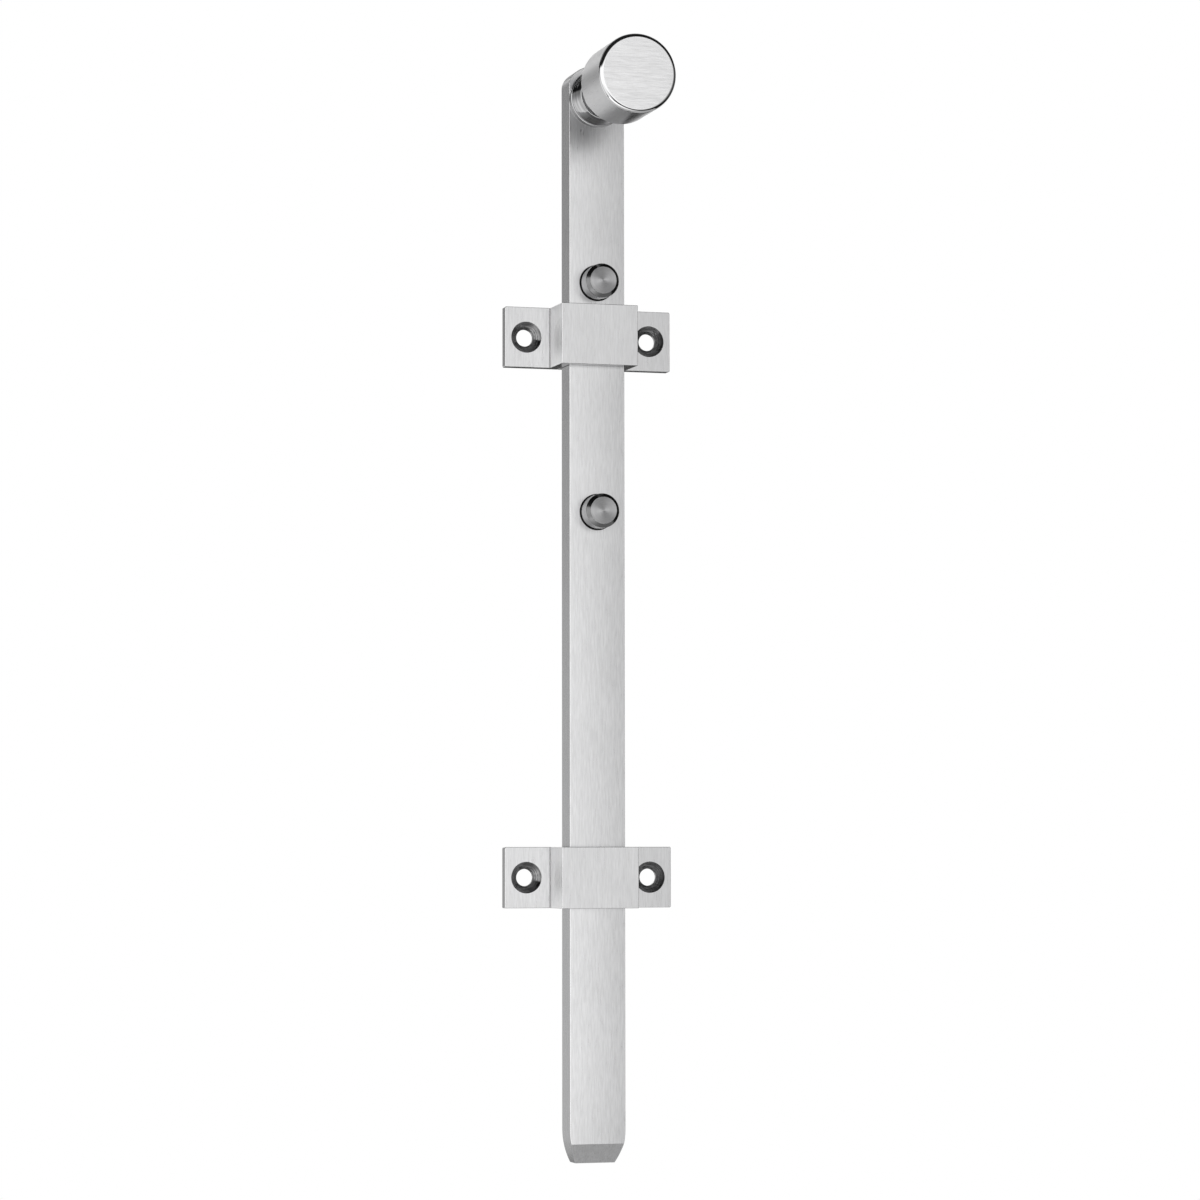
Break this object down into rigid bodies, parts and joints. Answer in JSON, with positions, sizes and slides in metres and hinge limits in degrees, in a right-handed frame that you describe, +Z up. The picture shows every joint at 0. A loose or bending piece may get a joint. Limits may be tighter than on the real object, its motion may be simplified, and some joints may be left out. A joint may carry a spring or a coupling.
{
  "type": "surface door bolt",
  "caption": "Flat sliding door bolt with a turned knob, stop pins and screwed box guides, for the face of a door, gate or shutter.",
  "frame": {"origin": "middle of the upper guide on the face of the door", "axes": "+X right, +Y into the door, +Z up along the bar towards the knob"},
  "size_m": [0.0484, 0.0518, 0.3081],
  "materials": {
    "bar_steel": "stainless, brushed along the bar",
    "guide_steel": "stainless, brushed from top to bottom",
    "knob_steel": "stainless, face brushed straight across and side brushed round",
    "turned_steel": "stainless, left bright from the lathe, with fine rings",
    "screw_steel": "plain stainless, satin",
    "spring_steel": "plain spring steel strip, smooth"
  },
  "bodies": {
    "guides": {"upper_guide_bridge": "guide_steel", "upper_guide_back_plate": "guide_steel", "upper_guide_spring": "spring_steel", "upper_guide_rivet": "screw_steel", "lower_guide_bridge": "guide_steel", "lower_guide_back_plate": "guide_steel", "lower_guide_spring": "spring_steel", "lower_guide_rivet": "screw_steel"},
    "bolt": {"bolt_bar": "bar_steel", "knob_collar": "turned_steel", "knob_neck": "turned_steel", "knob_head": "knob_steel", "knob_screw": "screw_steel", "upper_stop_pin": "turned_steel", "upper_stop_screw": "screw_steel", "lower_stop_pin": "turned_steel", "lower_stop_screw": "screw_steel"}
  },
  "joints": [
    {"name": "bolt_slide", "type": "slide", "parent": "guides", "child": "bolt", "axis": [0, 0, 1], "range_m": [-0.0014, 0.0363]}
  ]
}
